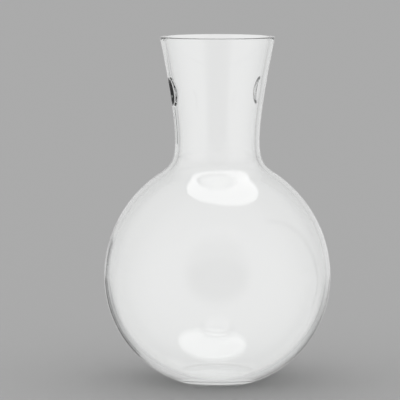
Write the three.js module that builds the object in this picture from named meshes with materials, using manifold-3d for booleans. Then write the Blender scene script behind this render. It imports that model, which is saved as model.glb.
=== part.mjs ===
// A small vase of clear blown glass in the shape of a round bottom flask: a globe with a flat
// foot, and a flared neck with two pressed dimples, joined by a flame seal above the shoulder.
// Millimetres, +Z up. The foot stands on z = 0, and the axis of the glass is x = y = 0.
import * as THREE from 'three';
import { mergeVertices } from 'three/addons/utils/BufferGeometryUtils.js';
import Module from 'manifold-3d';

// Driving dimensions.
const height = 122;
const globeRadius = 40;
const mouthRadius = 20.1;
const waistRadius = 14.9;
const waistHeight = 86;
const sealHeight = 80;

// The wall of glass: even from the equator up, thicker towards the foot.
const wall = 1.7;
const footWall = 2.4;
const thickWallHeight = 30;

// The globe is a little taller than a ball above its equator and a little flatter below it:
// each half is an arc whose centre lies off the axis, beyond it above and short of it below.
const upperArcOffset = 4;
const lowerArcOffset = 0.9;
const upperArcRadius = globeRadius + upperArcOffset;
const lowerArcRadius = globeRadius - lowerArcOffset;
const shoulderAngle = THREE.MathUtils.degToRad(56);

// The foot: a flat, rounded into the globe. Its size sets the height of the equator.
const footRadius = 12.5;
const footEdgeRadius = 5;
const footReach = footRadius - lowerArcOffset;
const footDrop = Math.sqrt((lowerArcRadius - footEdgeRadius) ** 2 - footReach ** 2);
const equatorHeight = footEdgeRadius + footDrop;
const footEdgeAngle = Math.atan2(-footDrop, footReach);

// Curve handles, as shares of the way to the corner where the curve's two end tangents meet.
const shoulderLowerHandle = 0.88;
const shoulderUpperHandle = 0.8;
const flareLowerHandle = 0.7;
const flareUpperHandle = 0.5;
const flareTilt = THREE.MathUtils.degToRad(12);

// The dimples: spherical, with a flat floor, one on each side of the neck.
const dimpleHeight = 102;
const dimpleFloorDistance = 14.5;
const dimpleBallRadius = 8;
const dimpleFloorRadius = 2;
const floorToCentre = Math.sqrt(dimpleBallRadius ** 2 - dimpleFloorRadius ** 2);

// How finely the round shapes are faceted.
const latheSegments = 48;
const ballSegments = 24;
const ballSteps = 10;
const rimSteps = 6;

const point = (radius, z) => new THREE.Vector2(radius, z);

const arc = (centre, radius, start, end) =>
  new THREE.EllipseCurve(centre.x, centre.y, radius, radius, start, end, end < start);

// A curve from one point to another that leaves and arrives along the given unit directions.
function blend(start, leaving, startHandle, end, arriving, endHandle) {
  const gap = end.clone().sub(start);
  const turn = leaving.cross(arriving);
  const startLength = gap.cross(arriving) / turn;
  const endLength = leaving.cross(gap) / turn;
  return new THREE.CubicBezierCurve(
    start,
    start.clone().addScaledVector(leaving, startLength * startHandle),
    end.clone().addScaledVector(arriving, -endLength * endHandle),
    end,
  );
}

// The outside outline as curves of (radius, height), from the middle of the foot to the rim.
const up = point(0, 1);
const lowerCentre = point(lowerArcOffset, equatorHeight);
const upperCentre = point(-upperArcOffset, equatorHeight);
const shoulderStart = upperCentre
  .clone()
  .add(point(Math.cos(shoulderAngle), Math.sin(shoulderAngle)).multiplyScalar(upperArcRadius));
const shoulderDirection = point(-Math.sin(shoulderAngle), Math.cos(shoulderAngle));
const waist = point(waistRadius, waistHeight);
const rimCentre = point(mouthRadius - wall / 2, height - wall / 2);
const flareDirection = point(Math.sin(flareTilt), Math.cos(flareTilt));
const flareEnd = point(
  rimCentre.x + (wall / 2) * Math.cos(flareTilt),
  rimCentre.y - (wall / 2) * Math.sin(flareTilt),
);

const outline = [
  { steps: 2, curve: new THREE.LineCurve(point(0, 0), point(footRadius, 0)) },
  {
    steps: 2,
    curve: arc(point(footRadius, footEdgeRadius), footEdgeRadius, -Math.PI / 2, footEdgeAngle),
  },
  { steps: 9, curve: arc(lowerCentre, lowerArcRadius, footEdgeAngle, 0) },
  { steps: 6, curve: arc(upperCentre, upperArcRadius, 0, shoulderAngle) },
  {
    steps: 8,
    curve: blend(
      shoulderStart,
      shoulderDirection,
      shoulderLowerHandle,
      waist,
      up,
      shoulderUpperHandle,
    ),
  },
  {
    steps: 6,
    curve: blend(waist, up, flareLowerHandle, flareEnd, flareDirection, flareUpperHandle),
  },
];

function wallAt(z) {
  const thickening = 1 - THREE.MathUtils.smoothstep(z, 0, thickWallHeight);
  return wall + (footWall - wall) * thickening;
}

// Stations along the wall, from the foot to the rim: a point outside, and one inside across
// the thickness of the glass.
function wallStation(curve, t) {
  const outside = curve.getPoint(t);
  const tangent = curve.getTangent(t);
  const inward = point(-tangent.y, tangent.x);
  const inside = outside.clone().addScaledVector(inward, wallAt(outside.y));
  return { outside, inside };
}

function wallStations() {
  const stations = [wallStation(outline[0].curve, 0)];
  for (const { curve, steps } of outline) {
    for (let step = 1; step <= steps; step += 1) {
      stations.push(wallStation(curve, step / steps));
    }
  }
  return stations;
}

// The points of an outline that lie below or above a height, ending or starting exactly at it.
function crossing(points, z) {
  const above = points.findIndex((p) => p.y > z);
  const [low, high] = [points[above - 1], points[above]];
  return point(THREE.MathUtils.mapLinear(z, low.y, high.y, low.x, high.x), z);
}
const below = (points, z) => [...points.filter((p) => p.y < z), crossing(points, z)];
const aboveHeight = (points, z) => [crossing(points, z), ...points.filter((p) => p.y > z)];

// A lathe turns its outline about Y, and the quarter turn about X stands it up along Z.
const turned = (points, segments) =>
  new THREE.LatheGeometry(points, segments).rotateX(Math.PI / 2);

const wasm = await Module();
wasm.setup();

function toSolid(geometry) {
  const bare = geometry.clone();
  bare.deleteAttribute('normal');
  bare.deleteAttribute('uv');
  const merged = mergeVertices(bare, 1e-4);
  return new wasm.Manifold(
    new wasm.Mesh({
      numProp: 3,
      vertProperties: merged.attributes.position.array,
      triVerts: Uint32Array.from(merged.index.array),
    }),
  );
}

function toGeometry(solid) {
  const mesh = solid.getMesh();
  const geometry = new THREE.BufferGeometry();
  geometry.setAttribute('position', new THREE.BufferAttribute(mesh.vertProperties, mesh.numProp));
  geometry.setIndex(new THREE.BufferAttribute(mesh.triVerts, 1));
  geometry.computeVertexNormals();
  return geometry;
}

// A ball cut flat at a distance below its centre, then laid on its side so that the flat faces
// the axis of the neck.
function dimpleBall(radius, flatDistance, side) {
  const flatAngle = Math.asin(flatDistance / radius);
  const round = arc(point(0, 0), radius, -flatAngle, Math.PI / 2).getPoints(ballSteps);
  const ball = turned([point(0, -flatDistance), ...round.slice(0, -1), point(0, radius)], ballSegments);
  ball.rotateY((side * Math.PI) / 2);
  ball.translate(side * (dimpleFloorDistance + floorToCentre), 0, dimpleHeight);
  return toSolid(ball);
}

const stations = wallStations();
const outside = stations.map((station) => station.outside);
const inside = stations.map((station) => station.inside);

function globe() {
  return turned(
    [...below(outside, sealHeight), ...below(inside, sealHeight).reverse()],
    latheSegments,
  );
}

function neck() {
  const outer = aboveHeight(outside, sealHeight);
  const inner = aboveHeight(inside, sealHeight).reverse();
  const rim = arc(rimCentre, wall / 2, -flareTilt, Math.PI - flareTilt).getPoints(rimSteps);
  const shell = turned([...outer, ...rim.slice(1, -1), ...inner, outer[0]], latheSegments);
  const filled = turned(
    [point(0, sealHeight), ...outer, ...rim.slice(1, rimSteps / 2 + 1), point(0, height)],
    latheSegments,
  );

  let glass = toSolid(shell);
  const core = toSolid(filled);
  for (const side of [-1, 1]) {
    const bump = dimpleBall(dimpleBallRadius + wall, floorToCentre + wall, side);
    const hollow = dimpleBall(dimpleBallRadius, floorToCentre, side);
    glass = glass.add(core.intersect(bump)).subtract(hollow);
  }
  return toGeometry(glass);
}

const clearGlass = () =>
  new THREE.MeshStandardMaterial({
    color: 0xf1f5f4,
    roughness: 0.05,
    metalness: 0,
    transparent: true,
    opacity: 0.35,
  });

const vase = new THREE.Group();
for (const [name, build] of Object.entries({ globe, neck })) {
  const mesh = new THREE.Mesh(build(), clearGlass());
  mesh.name = name;
  vase.add(mesh);
}

export default vase;
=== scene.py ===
"""Looks of a clear blown-glass flask: fine glass surfaces, floor, soft light and camera."""
import math

import bpy
import numpy as np
from mathutils import Matrix, Vector


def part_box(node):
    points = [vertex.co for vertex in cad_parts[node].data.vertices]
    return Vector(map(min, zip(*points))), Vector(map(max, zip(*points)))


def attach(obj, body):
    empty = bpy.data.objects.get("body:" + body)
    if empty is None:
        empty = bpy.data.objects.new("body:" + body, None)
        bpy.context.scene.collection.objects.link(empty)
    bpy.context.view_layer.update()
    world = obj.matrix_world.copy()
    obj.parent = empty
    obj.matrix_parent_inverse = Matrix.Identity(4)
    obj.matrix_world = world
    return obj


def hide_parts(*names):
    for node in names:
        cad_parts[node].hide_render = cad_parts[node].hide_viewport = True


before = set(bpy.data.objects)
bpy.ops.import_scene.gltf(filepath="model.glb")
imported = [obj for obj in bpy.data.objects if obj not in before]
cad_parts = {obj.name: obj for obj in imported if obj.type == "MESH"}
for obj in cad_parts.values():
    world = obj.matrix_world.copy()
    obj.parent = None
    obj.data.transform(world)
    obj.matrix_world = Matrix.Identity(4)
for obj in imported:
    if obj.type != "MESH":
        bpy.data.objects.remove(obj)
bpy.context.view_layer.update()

# ---------------------------------------------------------------- the flask, in millimetres

MM = 0.001
_, globe_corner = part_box("globe")
_, neck_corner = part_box("neck")

HEIGHT = neck_corner.z / MM
MOUTH_RADIUS = neck_corner.x / MM
GLOBE_RADIUS = globe_corner.x / MM
SEAL_HEIGHT = globe_corner.z / MM
WAIST_RADIUS = 14.9
WAIST_HEIGHT = 86.0

WALL = 1.7
FOOT_WALL = 2.4

# Each half of the globe is an arc whose centre lies off the axis.
UPPER_ARC_OFFSET = 4.0
LOWER_ARC_OFFSET = 0.9
UPPER_ARC_RADIUS = GLOBE_RADIUS + UPPER_ARC_OFFSET
LOWER_ARC_RADIUS = GLOBE_RADIUS - LOWER_ARC_OFFSET

# The foot is slightly dished inside its edge. Its size sets the height of the equator.
FOOT_RADIUS = 12.5
FOOT_EDGE_RADIUS = 5.0
FOOT_DISH = 0.15
FOOT_REACH = FOOT_RADIUS - LOWER_ARC_OFFSET
FOOT_DROP = math.sqrt((LOWER_ARC_RADIUS - FOOT_EDGE_RADIUS) ** 2 - FOOT_REACH ** 2)
FOOT_EDGE_ANGLE = math.atan2(-FOOT_DROP, FOOT_REACH)
EQUATOR_HEIGHT = FOOT_EDGE_RADIUS + FOOT_DROP

# The shoulder's curve leaves the upper arc at an angle up from the equator, and the neck leans
# outwards at the rim. Curve handles are shares of the way to the corner where the curve's end
# tangents meet.
SHOULDER_ANGLE = math.radians(56)
SHOULDER_LOWER_HANDLE = 0.88
SHOULDER_UPPER_HANDLE = 0.8
FLARE_TILT = math.radians(12)
FLARE_LOWER_HANDLE = 0.7
FLARE_UPPER_HANDLE = 0.5

# The rim is a half turn over the wall: 1 would make it round, and less makes it squarer.
RIM_ROUNDNESS = 0.38

# The dimples. Only points of the neck within their reach and depth are moved.
DIMPLE_HEIGHT = 102.0
DIMPLE_FLOOR = 14.5
DIMPLE_BOWL_RADIUS = 5.0
DIMPLE_WALL = 1.0
DIMPLE_EDGE_SOFTNESS = 0.35
DIMPLE_INNER_SOFTNESS = 0.8
DIMPLE_REACH = 11.0
DIMPLE_DEPTH = 2.0

# How finely the outline and the turn about the axis are divided.
FOOT_STEPS = 20
FOOT_EDGE_STEPS = 8
LOWER_STEPS = 44
UPPER_STEPS = 40
SHOULDER_STEPS = 44
FLARE_STEPS = 90
RIM_STEPS = 14
TURN_STEPS = 256

# ---------------------------------------------------------------- the glass

# Glass bends light at its surfaces, but not where the two pieces are fused. There, the faces
# stay a hair apart, in millimetres, so that light leaves one piece before it enters the other.
GLASS_INDEX = 1.47
FUSED_INDEX = 1.0
INDEX_ATTRIBUTE = "refractive_index"
SEAL_GAP = 0.02

# The tint grows with the depth of glass looked through, at a density per metre.
GLASS_TINT = (0.45, 0.55, 0.5, 1)
GLASS_DENSITY = 20.0

# Blown glass is never quite even: it has long shallow waves, and a faint film in patches where
# the noise rises above its middle level. The height of the waves is in metres.
WAVES_PER_METRE = 26
WAVE_DETAIL = 1.0
WAVE_HEIGHT = 0.00012
FILM_PATCHES_PER_METRE = 40
FILM_DETAIL = 3.0
FILM_LEVELS = (0.5, 0.75)
FILM_ROUGHNESS = 0.03

# ---------------------------------------------------------------- the studio, in metres

CAMERA_AZIMUTH = math.radians(-13)
CAMERA_DISTANCE = 0.9
CAMERA_ABOVE_RIM = 0.038
CAMERA_PITCH = math.radians(6.07)
CAMERA_AIM_LEFT = math.radians(0.39)
CAMERA_LENS = 230.7
CAMERA_SENSOR = 36
CAMERA_CLIP = (0.05, 30)

WHITE = (1, 1, 1, 1)

# The floor and the plain backdrop share one tone. In the glass the floor shows a painted glow in
# the tent's tones, though it is no lamp, apart from a small share of matt white, which lets the
# flask's shadow show there.
FLOOR_RADIUS = 6.0
FLOOR_SIDES = 96
FLOOR_GAP = 0.00003
FLOOR_TONE = 0.41
FLOOR_SHADE = 0.1

# The white tent: its tone straight through the glass, and its tones in reflections, at angles
# in degrees away from the gap in it, which is on the camera's side of the flask. The heart is
# where those angles are measured from on the floor, for the floor's painted glow.
TENT_TONE = 0.83
TENT_STOPS = ((180, 0.83), (154, 0.74), (128, 0.48), (100, 0.68), (70, 0.83), (40, 0.83), (22, 0.42))
TENT_HEART = (0, 0, 0.06)
TENT_GAP_ELEVATION = math.radians(10)

# The softbox: its width and depth, and its place to the right of, behind and above the foot,
# as the camera sees it.
SOFTBOX_SIZES = (1.02, 0.95)
SOFTBOX_PLACE = (0.09, 0.2, 1.04)
SOFTBOX_RADIANCE = 1.7

# The black card: the ends of its near and far edges, to the right of and behind the foot, as the
# camera sees it. It lies on the floor and its far end stands up.
CARD_NEAR = ((-0.038, 0.016), (-0.032, 0.012))
CARD_FAR = ((-0.24, 0.4), (-0.18, 0.4))
CARD_LIFT = 0.0001
CARD_HEIGHT = 0.05
CARD_TONE = 0.25

# ---------------------------------------------------------------- the outline of the glass


def heading(angle):
    """A unit direction in the outline's plane, at an angle up from straight outwards."""
    return np.array((math.cos(angle), math.sin(angle)))


def arc(centre, radius, start, end, steps):
    """Points on an arc about a centre, with the last and without the first."""
    angles = np.linspace(start, end, steps + 1)[1:]
    return np.column_stack(
        (centre[0] + radius * np.cos(angles), centre[1] + radius * np.sin(angles))
    )


def blend(start, leaving, start_handle, end, arriving, end_handle, steps):
    """Points on a curve that leaves and arrives along unit directions, without the first."""
    gap = end - start
    turn = leaving[0] * arriving[1] - leaving[1] * arriving[0]
    start_reach = (gap[0] * arriving[1] - gap[1] * arriving[0]) / turn
    end_reach = (leaving[0] * gap[1] - leaving[1] * gap[0]) / turn
    handle_a = start + leaving * start_reach * start_handle
    handle_b = end - arriving * end_reach * end_handle
    t = np.linspace(0, 1, steps + 1)[1:, None]
    s = 1 - t
    return s**3 * start + 3 * s**2 * t * handle_a + 3 * s * t**2 * handle_b + t**3 * end


def foot_line(steps):
    """The slightly dished underside of the foot, from the axis to the edge."""
    radii = np.linspace(0, FOOT_RADIUS, steps + 1)
    heights = FOOT_DISH * (0.5 + 0.5 * np.cos(math.pi * radii / FOOT_RADIUS))
    return np.column_stack((radii, heights))


def outline():
    """The outside of the glass as points of (radius, height), from the axis to the rim.

    A point is added where the outline crosses the seal, and its number is returned too.
    """
    up = np.array((0.0, 1.0))
    foot_edge_centre = (FOOT_RADIUS, FOOT_EDGE_RADIUS)
    lower_centre = (LOWER_ARC_OFFSET, EQUATOR_HEIGHT)
    upper_centre = np.array((-UPPER_ARC_OFFSET, EQUATOR_HEIGHT))
    shoulder = upper_centre + UPPER_ARC_RADIUS * heading(SHOULDER_ANGLE)
    waist = np.array((WAIST_RADIUS, WAIST_HEIGHT))
    rim_centre = np.array((MOUTH_RADIUS - WALL / 2, HEIGHT - WALL / 2))
    flare_end = rim_centre + WALL / 2 * heading(-FLARE_TILT)
    points = np.vstack((
        foot_line(FOOT_STEPS),
        arc(foot_edge_centre, FOOT_EDGE_RADIUS, -math.pi / 2, FOOT_EDGE_ANGLE, FOOT_EDGE_STEPS),
        arc(lower_centre, LOWER_ARC_RADIUS, FOOT_EDGE_ANGLE, 0, LOWER_STEPS),
        arc(upper_centre, UPPER_ARC_RADIUS, 0, SHOULDER_ANGLE, UPPER_STEPS),
        blend(
            shoulder, heading(SHOULDER_ANGLE + math.pi / 2), SHOULDER_LOWER_HANDLE,
            waist, up, SHOULDER_UPPER_HANDLE, SHOULDER_STEPS,
        ),
        blend(
            waist, up, FLARE_LOWER_HANDLE,
            flare_end, heading(math.pi / 2 - FLARE_TILT), FLARE_UPPER_HANDLE, FLARE_STEPS,
        ),
    ))
    seal = int(np.argmax(points[:, 1] >= SEAL_HEIGHT))
    low, high = points[seal - 1], points[seal]
    share = (SEAL_HEIGHT - low[1]) / (high[1] - low[1])
    return np.insert(points, seal, low + share * (high - low), axis=0), seal


def outward_normals(points):
    """Unit normals of an outline that climbs from the axis, pointing out of the glass."""
    along = np.gradient(points, axis=0)
    along[0] = (1.0, 0.0)
    normals = np.column_stack((along[:, 1], -along[:, 0]))
    return normals / np.linalg.norm(normals, axis=1)[:, None]


# ---------------------------------------------------------------- the surfaces of the glass


def wall_thickness(heights):
    """Even from the equator up, and steadily thicker below it towards the foot."""
    return WALL + (FOOT_WALL - WALL) * (1 - np.clip(heights / EQUATOR_HEIGHT, 0, 1))


def lathe(radii, heights):
    """A grid of (station, turn, xyz) from columns of radii and heights."""
    turns = np.linspace(0, 2 * math.pi, TURN_STEPS, endpoint=False)[None, :]
    return np.stack((radii * np.cos(turns), radii * np.sin(turns), heights + 0 * turns), axis=-1)


def smooth_min(a, b, softness):
    """The smaller of two values, rounded off where they are nearly equal."""
    h = np.clip(0.5 + 0.5 * (b - a) / softness, 0.0, 1.0)
    return b * (1 - h) + a * h - softness * h * (1 - h)


def press_dimples(points, floor, bowl_radius, softness):
    """Presses a rounded bowl into the wall on each side, towards the axis."""
    x, y, z = points[..., 0], points[..., 1], points[..., 2]
    from_centre = y**2 + (z - DIMPLE_HEIGHT) ** 2
    bowl = floor + from_centre / (2 * bowl_radius)
    pressed = np.sign(x) * smooth_min(np.abs(x), bowl, softness)
    near = (np.abs(x) > floor - DIMPLE_DEPTH) & (from_centre < DIMPLE_REACH**2)
    points[..., 0] = np.where(near, pressed, x)


def surfaces():
    """Outside and inside of the whole vessel, as grids, and the number of the seal's ring."""
    points, seal = outline()
    radii, heights = points[:, :1], points[:, 1:]
    inward = -wall_thickness(heights) * outward_normals(points)
    outside = lathe(radii, heights)
    inside = lathe(radii + inward[:, :1], heights + inward[:, 1:])
    press_dimples(outside, DIMPLE_FLOOR, DIMPLE_BOWL_RADIUS, DIMPLE_EDGE_SOFTNESS)
    inner_bowl_radius = DIMPLE_BOWL_RADIUS + DIMPLE_WALL
    press_dimples(inside, DIMPLE_FLOOR - DIMPLE_WALL, inner_bowl_radius, DIMPLE_INNER_SOFTNESS)
    return outside, inside, seal


def rim_rings(outside, inside):
    """The fire-polished rim: a squarish half turn over the wall, from outside to inside."""
    outer, inner = outside[-1], inside[-1]
    middle, across = (outer + inner) / 2, (outer - inner) / 2
    up = outside[-1] - outside[-2]
    up = up / np.linalg.norm(up, axis=1)[:, None] * np.linalg.norm(across, axis=1)[:, None]
    rings = []
    for angle in np.linspace(0, math.pi, RIM_STEPS + 1)[1:-1]:
        cos_a, sin_a = math.cos(angle), math.sin(angle)
        sideways = math.copysign(abs(cos_a) ** RIM_ROUNDNESS, cos_a)
        rings.append(middle + across * sideways + up * sin_a**RIM_ROUNDNESS)
    rings = np.array(rings)
    radii = np.hypot(rings[..., 0], rings[..., 1])
    rings[..., :2] *= np.minimum(1, MOUTH_RADIUS / radii)[..., None]
    rings[..., 2] = np.minimum(rings[..., 2], HEIGHT)
    return rings


def grid_normals(rings):
    """Unit normals of a grid of rings, from the differences along and around it."""
    along = np.gradient(rings, axis=0)
    around = np.roll(rings, -1, axis=1) - np.roll(rings, 1, axis=1)
    normals = np.cross(around, along)
    lengths = np.linalg.norm(normals, axis=-1, keepdims=True)
    return normals / np.maximum(lengths, np.finfo(float).tiny)


# ---------------------------------------------------------------- the meshes


def ring_faces(first, second):
    """Faces between two rings of vertex numbers, either of which may be a single point."""
    count = max(len(first), len(second))
    faces = []
    for here in range(count):
        there = (here + 1) % count
        if len(first) == 1:
            faces.append((first[0], second[there], second[here]))
        elif len(second) == 1:
            faces.append((first[here], first[there], second[0]))
        else:
            faces.append((first[here], first[there], second[there], second[here]))
    return faces


def glass_object(name, rings, normals, meets_axis, seal_pair):
    """A closed shell from rings of points.

    One that meets the axis starts and ends in a point on it, and the other closes on itself.
    The seal's flat faces follow the ring with the number seal_pair.
    """
    verts, vert_normals, numbers = [], [], []
    last = len(rings) - 1
    for place, (ring, ring_normals) in enumerate(zip(rings, normals)):
        start = len(verts)
        if meets_axis and place in (0, last):
            verts.append(tuple(ring.mean(axis=0) * MM))
            vert_normals.append((0.0, 0.0, -1.0 if place == 0 else 1.0))
        else:
            verts.extend(map(tuple, ring * MM))
            vert_normals.extend(map(tuple, ring_normals))
        numbers.append(list(range(start, len(verts))))

    pairs = list(zip(numbers[:-1], numbers[1:]))
    if not meets_axis:
        pairs.append((numbers[-1], numbers[0]))
    faces, fused = [], []
    for place, (first, second) in enumerate(pairs):
        new = ring_faces(first, second)
        faces.extend(new)
        fused.extend([place == seal_pair] * len(new))

    mesh = bpy.data.meshes.new(name)
    mesh.from_pydata(verts, [], faces)
    mesh.polygons.foreach_set("use_smooth", [not flat for flat in fused])
    index = mesh.attributes.new(INDEX_ATTRIBUTE, "FLOAT", "FACE")
    index.data.foreach_set("value", [FUSED_INDEX if flat else GLASS_INDEX for flat in fused])
    mesh.update()
    loop_normals = []
    for polygon, flat in zip(mesh.polygons, fused):
        for vertex in polygon.vertices:
            loop_normals.append(polygon.normal if flat else vert_normals[vertex])
    mesh.normals_split_custom_set(loop_normals)
    piece = bpy.data.objects.new(name, mesh)
    bpy.context.collection.objects.link(piece)
    return piece


def build_glass():
    """The globe and the neck, cut from one run of rings: up the outside, over, down the inside."""
    outside, inside, seal = surfaces()
    rings = np.concatenate((outside, rim_rings(outside, inside), inside[::-1]))
    normals = grid_normals(rings)
    inner_seal = len(rings) - 1 - seal

    globe_rings = np.concatenate((rings[: seal + 1], rings[inner_seal:]))
    globe_normals = np.concatenate((normals[: seal + 1], normals[inner_seal:]))
    globe_rings[[seal, seal + 1], :, 2] -= SEAL_GAP / 2
    globe = glass_object("globe_glass", globe_rings, globe_normals, True, seal)

    neck_rings = rings[seal : inner_seal + 1].copy()
    neck_normals = normals[seal : inner_seal + 1]
    neck_rings[[0, -1], :, 2] += SEAL_GAP / 2
    neck = glass_object("neck_glass", neck_rings, neck_normals, False, len(neck_rings) - 1)
    return globe, neck


# ---------------------------------------------------------------- materials


def grey(tone):
    return (tone, tone, tone, 1)


def new_material(name):
    """An empty node material and its output."""
    material = bpy.data.materials.new(name)
    material.use_nodes = True
    nodes, links = material.node_tree.nodes, material.node_tree.links
    nodes.clear()
    return material, nodes, links, nodes.new("ShaderNodeOutputMaterial")


def noise(nodes, links, place, scale, detail):
    """Noise over the piece's own space, at a scale per metre."""
    texture = nodes.new("ShaderNodeTexNoise")
    texture.inputs["Scale"].default_value = scale
    texture.inputs["Detail"].default_value = detail
    links.new(place, texture.inputs["Vector"])
    return texture.outputs["Fac"]


def glass_material():
    """Clear glass, tinted by the depth looked through. Its mesh says where it bends light."""
    material, nodes, links, output = new_material("clear_glass")
    shader = nodes.new("ShaderNodeBsdfPrincipled")
    shader.inputs["Base Color"].default_value = WHITE
    shader.inputs["Transmission Weight"].default_value = 1.0
    place = nodes.new("ShaderNodeTexCoord").outputs["Object"]

    waves = nodes.new("ShaderNodeBump")
    waves.inputs["Strength"].default_value = 1.0
    waves.inputs["Distance"].default_value = WAVE_HEIGHT
    wave_noise = noise(nodes, links, place, WAVES_PER_METRE, WAVE_DETAIL)
    links.new(wave_noise, waves.inputs["Height"])
    links.new(waves.outputs["Normal"], shader.inputs["Normal"])

    film = nodes.new("ShaderNodeMapRange")
    film.inputs["From Min"].default_value, film.inputs["From Max"].default_value = FILM_LEVELS
    film.inputs["To Min"].default_value = 0.0
    film.inputs["To Max"].default_value = FILM_ROUGHNESS
    film_noise = noise(nodes, links, place, FILM_PATCHES_PER_METRE, FILM_DETAIL)
    links.new(film_noise, film.inputs["Value"])
    links.new(film.outputs["Result"], shader.inputs["Roughness"])

    index = nodes.new("ShaderNodeAttribute")
    index.attribute_name = INDEX_ATTRIBUTE
    links.new(index.outputs["Fac"], shader.inputs["IOR"])
    tint = nodes.new("ShaderNodeVolumeAbsorption")
    tint.inputs["Color"].default_value = GLASS_TINT
    tint.inputs["Density"].default_value = GLASS_DENSITY
    links.new(shader.outputs["BSDF"], output.inputs["Surface"])
    links.new(tint.outputs["Volume"], output.inputs["Volume"])
    return material


def as_camera_sees(place):
    """A place or direction that is right, away and up for the camera, in the scene's axes."""
    return Matrix.Rotation(CAMERA_AZIMUTH, 3, "Z") @ Vector(place)


def tent_light(nodes, links, direction):
    """The tone of the tent in a direction, straight through the glass or in a reflection."""
    gap = (0, -math.cos(TENT_GAP_ELEVATION), math.sin(TENT_GAP_ELEVATION))
    facing = nodes.new("ShaderNodeVectorMath")
    facing.operation = "DOT_PRODUCT"
    facing.inputs[1].default_value = as_camera_sees(gap)

    # The cosine of the angle runs from -1 to 1, and a ramp from 0 to 1.
    share = nodes.new("ShaderNodeMath")
    share.operation = "MULTIPLY_ADD"
    share.inputs[1].default_value = 0.5
    share.inputs[2].default_value = 0.5
    ramp = nodes.new("ShaderNodeValToRGB")
    ramp.color_ramp.interpolation = "EASE"
    stops = ramp.color_ramp.elements
    while len(stops) < len(TENT_STOPS):
        stops.new(0.5)
    for stop, (angle, tone) in zip(stops, TENT_STOPS):
        stop.position = 0.5 + 0.5 * math.cos(math.radians(angle))
        stop.color = grey(tone)
    path = nodes.new("ShaderNodeLightPath")
    seen = nodes.new("ShaderNodeMix")
    seen.inputs["A"].default_value = TENT_TONE
    links.new(direction, facing.inputs[0])
    links.new(facing.outputs["Value"], share.inputs[0])
    links.new(share.outputs["Value"], ramp.inputs["Fac"])
    links.new(path.outputs["Glossy Depth"], seen.inputs["Factor"])
    links.new(ramp.outputs["Color"], seen.inputs["B"])
    return seen.outputs["Result"]


def floor_material():
    """A pale matt floor. Seen in or through the glass, it shows a painted glow in the white tent's
    tones.
    """
    material, nodes, links, output = new_material("pale_floor_with_painted_glow")
    matt = nodes.new("ShaderNodeBsdfDiffuse")
    matt.inputs["Color"].default_value = grey(FLOOR_TONE)

    place = nodes.new("ShaderNodeNewGeometry")
    away = nodes.new("ShaderNodeVectorMath")
    away.operation = "SUBTRACT"
    away.inputs[1].default_value = TENT_HEART
    direction = nodes.new("ShaderNodeVectorMath")
    direction.operation = "NORMALIZE"
    # Painted glow: the floor gives off the tent's tones, by direction from the tent's heart, seen
    # only in the glass.
    painted_tent_glow = nodes.new("ShaderNodeEmission")
    painted_tent_glow.inputs["Strength"].default_value = 1 - FLOOR_SHADE
    shaded = nodes.new("ShaderNodeBsdfDiffuse")
    shaded.inputs["Color"].default_value = grey(FLOOR_SHADE)
    in_glass = nodes.new("ShaderNodeAddShader")
    links.new(place.outputs["Position"], away.inputs[0])
    links.new(away.outputs["Vector"], direction.inputs[0])
    links.new(tent_light(nodes, links, direction.outputs["Vector"]), painted_tent_glow.inputs["Color"])
    links.new(shaded.outputs["BSDF"], in_glass.inputs[0])
    links.new(painted_tent_glow.outputs["Emission"], in_glass.inputs[1])

    path = nodes.new("ShaderNodeLightPath")
    direct = nodes.new("ShaderNodeMath")
    direct.operation = "MAXIMUM"
    mix = nodes.new("ShaderNodeMixShader")
    links.new(path.outputs["Is Camera Ray"], direct.inputs[0])
    links.new(path.outputs["Is Diffuse Ray"], direct.inputs[1])
    links.new(direct.outputs["Value"], mix.inputs["Fac"])
    links.new(in_glass.outputs["Shader"], mix.inputs[1])
    links.new(matt.outputs["BSDF"], mix.inputs[2])
    links.new(mix.outputs["Shader"], output.inputs["Surface"])
    return material


def black_card_material():
    """Dark grey in reflections, and unseen straight through the glass."""
    material, nodes, links, output = new_material("black_card")
    matt = nodes.new("ShaderNodeBsdfDiffuse")
    matt.inputs["Color"].default_value = grey(CARD_TONE)
    unseen = nodes.new("ShaderNodeBsdfTransparent")
    path = nodes.new("ShaderNodeLightPath")
    mix = nodes.new("ShaderNodeMixShader")
    links.new(path.outputs["Glossy Depth"], mix.inputs["Fac"])
    links.new(unseen.outputs["BSDF"], mix.inputs[1])
    links.new(matt.outputs["BSDF"], mix.inputs[2])
    links.new(mix.outputs["Shader"], output.inputs["Surface"])
    return material


# ---------------------------------------------------------------- the studio


def stage_mesh(name, verts, faces, material):
    """A mesh that belongs to the studio, not to the flask."""
    mesh = bpy.data.meshes.new(name)
    mesh.from_pydata(verts, [], faces)
    mesh.materials.append(material)
    prop = bpy.data.objects.new(name, mesh)
    bpy.context.collection.objects.link(prop)
    return prop


def add_floor():
    """A wide round floor, a hair below the foot."""
    turns = [2 * math.pi * side / FLOOR_SIDES for side in range(FLOOR_SIDES)]
    verts = [
        (FLOOR_RADIUS * math.cos(turn), FLOOR_RADIUS * math.sin(turn), -FLOOR_GAP)
        for turn in turns
    ]
    stage_mesh("floor", verts, [tuple(range(FLOOR_SIDES))], floor_material())


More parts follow.
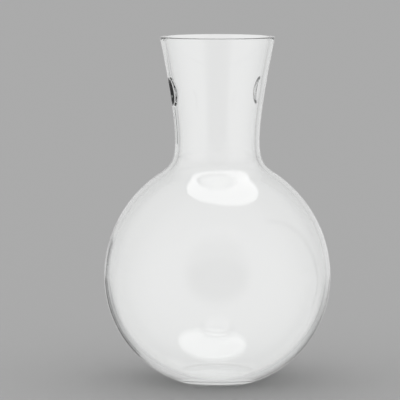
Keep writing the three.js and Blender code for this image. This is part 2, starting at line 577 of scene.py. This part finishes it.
def add_world():
    """The white tent as the glass shows it, even light on the floor, and a plain backdrop."""
    world = bpy.data.worlds.new("studio")
    bpy.context.scene.world = world
    world.use_nodes = True
    nodes, links = world.node_tree.nodes, world.node_tree.links
    output, tent = nodes["World Output"], nodes["Background"]
    tent.inputs["Strength"].default_value = 1.0
    direction = nodes.new("ShaderNodeTexCoord")
    links.new(tent_light(nodes, links, direction.outputs["Generated"]), tent.inputs["Color"])

    path = nodes.new("ShaderNodeLightPath")
    last = tent
    for ray, strength in (("Is Diffuse Ray", 1.0), ("Is Camera Ray", FLOOR_TONE)):
        plain = nodes.new("ShaderNodeBackground")
        plain.inputs["Color"].default_value = WHITE
        plain.inputs["Strength"].default_value = strength
        mix = nodes.new("ShaderNodeMixShader")
        links.new(path.outputs[ray], mix.inputs["Fac"])
        links.new(last.outputs[0], mix.inputs[1])
        links.new(plain.outputs["Background"], mix.inputs[2])
        last = mix
    links.new(last.outputs[0], output.inputs["Surface"])


def add_softbox():
    """A large softbox overhead, which shows only in the glass, not on the floor."""
    light = bpy.data.lights.new("overhead_softbox", "AREA")
    light.shape = "ELLIPSE"
    light.size, light.size_y = SOFTBOX_SIZES
    area = math.pi / 4 * light.size * light.size_y
    light.energy = SOFTBOX_RADIANCE * math.pi * area
    softbox = bpy.data.objects.new("overhead_softbox", light)
    softbox.location = as_camera_sees(SOFTBOX_PLACE)
    softbox.rotation_euler = (0, 0, CAMERA_AZIMUTH)
    softbox.visible_diffuse = False
    bpy.context.collection.objects.link(softbox)


def add_black_card():
    """A folded card low at the left behind the globe, which draws a thin line in its side."""
    near_left, near_right = ((*corner, CARD_LIFT) for corner in CARD_NEAR)
    far_left, far_right = ((*corner, CARD_LIFT) for corner in CARD_FAR)
    top_left, top_right = ((*corner, CARD_HEIGHT) for corner in CARD_FAR)
    corners = (near_left, near_right, far_right, far_left, top_right, top_left)
    verts = [as_camera_sees(corner) for corner in corners]
    faces = [(0, 1, 2, 3), (3, 2, 4, 5)]
    card = stage_mesh("black_card", verts, faces, black_card_material())
    card.visible_camera = False
    card.visible_diffuse = False
    card.visible_shadow = False


def add_camera():
    """A long lens a little above the rim, looking slightly down at the flask."""
    camera = bpy.data.cameras.new("camera")
    camera.sensor_width = CAMERA_SENSOR
    camera.lens = CAMERA_LENS
    camera.clip_start, camera.clip_end = CAMERA_CLIP
    holder = bpy.data.objects.new("camera", camera)
    bpy.context.collection.objects.link(holder)
    holder.location = as_camera_sees((0, -CAMERA_DISTANCE, HEIGHT * MM + CAMERA_ABOVE_RIM))
    pitched = Vector((0, math.cos(CAMERA_PITCH), -math.sin(CAMERA_PITCH)))
    aim = Matrix.Rotation(CAMERA_AZIMUTH + CAMERA_AIM_LEFT, 3, "Z") @ pitched
    holder.rotation_mode = "QUATERNION"
    holder.rotation_quaternion = aim.to_track_quat("-Z", "Y")
    bpy.context.scene.camera = holder


# ---------------------------------------------------------------- the scene

globe, neck = build_glass()
glass = glass_material()
for piece, node in ((globe, "globe"), (neck, "neck")):
    piece.data.materials.append(glass)
    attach(piece, "root")
    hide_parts(node)

add_floor()
add_world()
add_softbox()
add_black_card()
add_camera()
bpy.context.scene.view_settings.view_transform = "Standard"
